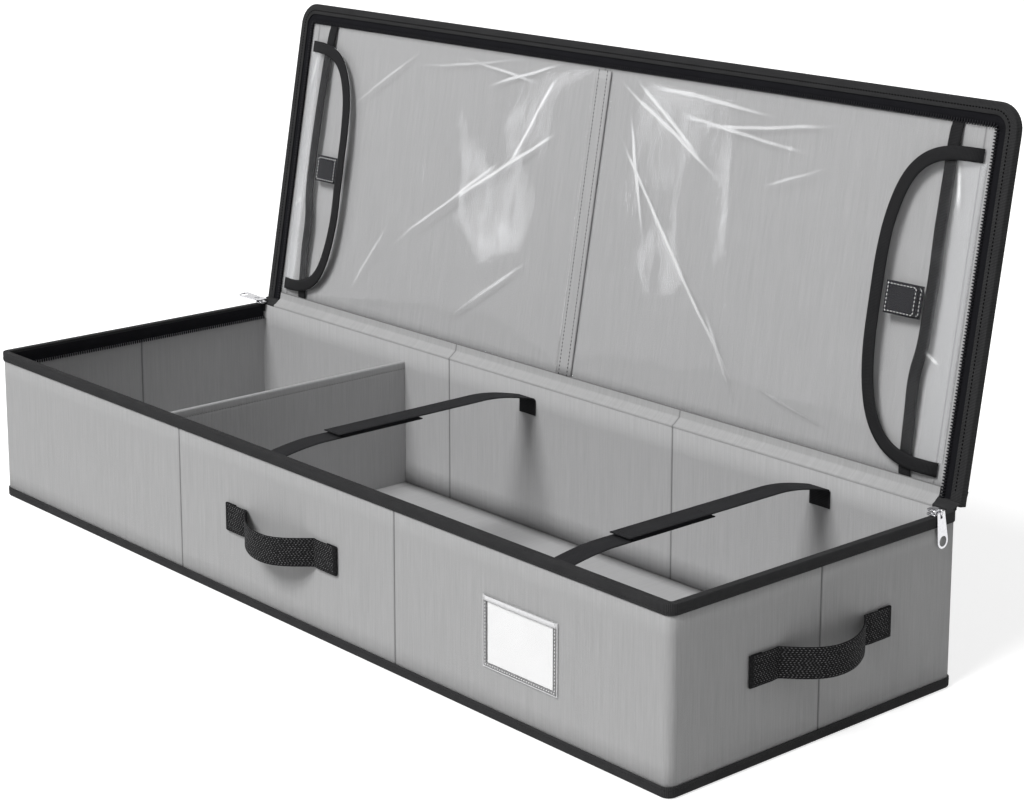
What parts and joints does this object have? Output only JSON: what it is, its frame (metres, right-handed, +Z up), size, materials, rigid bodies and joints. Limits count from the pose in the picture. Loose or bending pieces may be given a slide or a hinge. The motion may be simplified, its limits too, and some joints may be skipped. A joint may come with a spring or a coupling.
{
  "type": "gift wrap organizer",
  "caption": "Long low fabric storage box with a zip-around lid, a divider, hold-down straps, webbing handles and clear flap-covered pockets in the lid.",
  "frame": {"origin": "centre of the underside, on the surface the box stands on", "axes": "+X along the length to the end with the label pocket, -Y towards the front with the handle and the label pocket, +Z up"},
  "size_m": [1.1032, 0.4573, 0.5185],
  "materials": {
    "grey_cloth": "woven, fine vertical streaks",
    "grey_lining": "woven, matt",
    "boarding": "plain fibreboard, covered on all sides",
    "black_binding": "fine ribbed tape",
    "zip_tape": "matt woven tape",
    "zip_coil": "nylon coil",
    "black_webbing": "twill-woven webbing",
    "hook_loop": "hook and loop pile",
    "clear_film": "clear glossy film",
    "white_card": "plain card",
    "chromed_metal": "polished"
  },
  "bodies": {
    "box": {"outer_cover": "grey_cloth", "bottom_cover": "grey_cloth", "front_board": "boarding", "back_board": "boarding", "left_board": "boarding", "right_board": "boarding", "floor_board": "boarding", "wall_lining": "grey_lining", "floor_lining": "grey_lining", "top_binding": "black_binding", "bottom_binding": "black_binding", "hinge_fold_box": "grey_cloth", "divider_cover": "grey_lining", "divider_board": "boarding", "box_zip_tape": "zip_tape", "box_zip_coil": "zip_coil", "handle_front_left_end": "black_webbing", "handle_front_right_end": "black_webbing", "handle_right_front_end": "black_webbing", "handle_right_back_end": "black_webbing", "handle_left_front_end": "black_webbing", "handle_left_back_end": "black_webbing", "label_pocket": "clear_film"},
    "lid": {"lid_cover": "grey_cloth", "lid_board_left": "boarding", "lid_board_right": "boarding", "lid_lining": "grey_lining", "lid_binding": "black_binding", "lid_zip_tape": "zip_tape", "lid_zip_coil": "zip_coil", "hinge_fold_lid": "grey_cloth", "pocket_film_left": "clear_film", "pocket_film_right": "clear_film", "pocket_centre_strip": "grey_lining", "mouth_tape_left": "black_binding", "mouth_tape_right": "black_binding", "pocket_patch_left": "hook_loop", "pocket_patch_right": "hook_loop"},
    "flap_left": {"flap_film_left": "clear_film", "flap_binding_left": "black_binding", "flap_patch_left": "hook_loop"},
    "flap_right": {"flap_film_right": "clear_film", "flap_binding_right": "black_binding", "flap_patch_right": "hook_loop"},
    "handle_front": {"handle_front_loop": "black_webbing"},
    "handle_right": {"handle_right_loop": "black_webbing"},
    "handle_left": {"handle_left_loop": "black_webbing"},
    "strap_left_front_half": {"strap_left_front": "black_webbing", "strap_left_loop_patch": "hook_loop"},
    "strap_left_back_half": {"strap_left_back": "black_webbing", "strap_left_hook_patch": "hook_loop"},
    "strap_right_front_half": {"strap_right_front": "black_webbing", "strap_right_loop_patch": "hook_loop"},
    "strap_right_back_half": {"strap_right_back": "black_webbing", "strap_right_hook_patch": "hook_loop"},
    "slider_left": {"slider_left": "chromed_metal"},
    "slider_right": {"slider_right": "chromed_metal"},
    "pull_left": {"pull_left": "chromed_metal"},
    "pull_right": {"pull_right": "chromed_metal"},
    "label_card": {"label_card": "white_card"}
  },
  "joints": [
    {"name": "lid_hinge", "type": "hinge", "parent": "box", "child": "lid", "pos_m": [0, 0.178, 0.1685], "axis": [-1, 0, 0], "range_deg": [-100, 0]},
    {"name": "flap_left_seam", "type": "hinge", "parent": "lid", "child": "flap_left", "pos_m": [-0.4937, 0.21201, 0.33056], "axis": [0, -0.1736, -0.9848], "range_deg": [0, 90]},
    {"name": "flap_right_seam", "type": "hinge", "parent": "lid", "child": "flap_right", "pos_m": [0.4937, 0.21201, 0.33056], "axis": [0, 0.1736, 0.9848], "range_deg": [0, 90]},
    {"name": "handle_front_swing", "type": "hinge", "parent": "box", "child": "handle_front", "pos_m": [0, -0.1791, 0.099], "axis": [-1, 0, 0], "range_deg": [0, 70]},
    {"name": "handle_right_swing", "type": "hinge", "parent": "box", "child": "handle_right", "pos_m": [0.5211, 0, 0.099], "axis": [0, -1, 0], "range_deg": [0, 70]},
    {"name": "handle_left_swing", "type": "hinge", "parent": "box", "child": "handle_left", "pos_m": [-0.5211, 0, 0.099], "axis": [0, 1, 0], "range_deg": [0, 70]},
    {"name": "strap_left_back_lift", "type": "hinge", "parent": "box", "child": "strap_left_back_half", "pos_m": [-0.042, 0.1721, 0.149], "axis": [-1, 0, 0], "range_deg": [0, 75]},
    {"name": "strap_left_front_lift", "type": "hinge", "parent": "box", "child": "strap_left_front_half", "pos_m": [-0.042, -0.1685, 0.149], "axis": [1, 0, 0], "range_deg": [0, 52.5]},
    {"name": "strap_right_back_lift", "type": "hinge", "parent": "box", "child": "strap_right_back_half", "pos_m": [0.365, 0.1721, 0.149], "axis": [-1, 0, 0], "range_deg": [0, 75]},
    {"name": "strap_right_front_lift", "type": "hinge", "parent": "box", "child": "strap_right_front_half", "pos_m": [0.365, -0.1685, 0.149], "axis": [1, 0, 0], "range_deg": [0, 52.5]},
    {"name": "slider_left_slide", "type": "slide", "parent": "box", "child": "slider_left", "axis": [0, -1, 0], "range_m": [0, 0.3]},
    {"name": "slider_right_slide", "type": "slide", "parent": "box", "child": "slider_right", "axis": [0, -1, 0], "range_m": [0, 0.28]},
    {"name": "pull_left_swing", "type": "hinge", "parent": "slider_left", "child": "pull_left", "pos_m": [-0.5226, 0.169, 0.1684], "axis": [0, 1, 0], "range_deg": [-85, 60]},
    {"name": "pull_right_swing", "type": "hinge", "parent": "slider_right", "child": "pull_right", "pos_m": [0.5226, 0.151, 0.1684], "axis": [0, -1, 0], "range_deg": [0, 150]},
    {"name": "label_card_slide", "type": "slide", "parent": "box", "child": "label_card", "axis": [0, 0, 1], "range_m": [0, 0.04]}
  ],
  "couplings": [
    {"joint": "strap_left_front_lift", "follows": "strap_left_back_lift", "ratio": 0.7},
    {"joint": "strap_right_front_lift", "follows": "strap_right_back_lift", "ratio": 0.7}
  ]
}
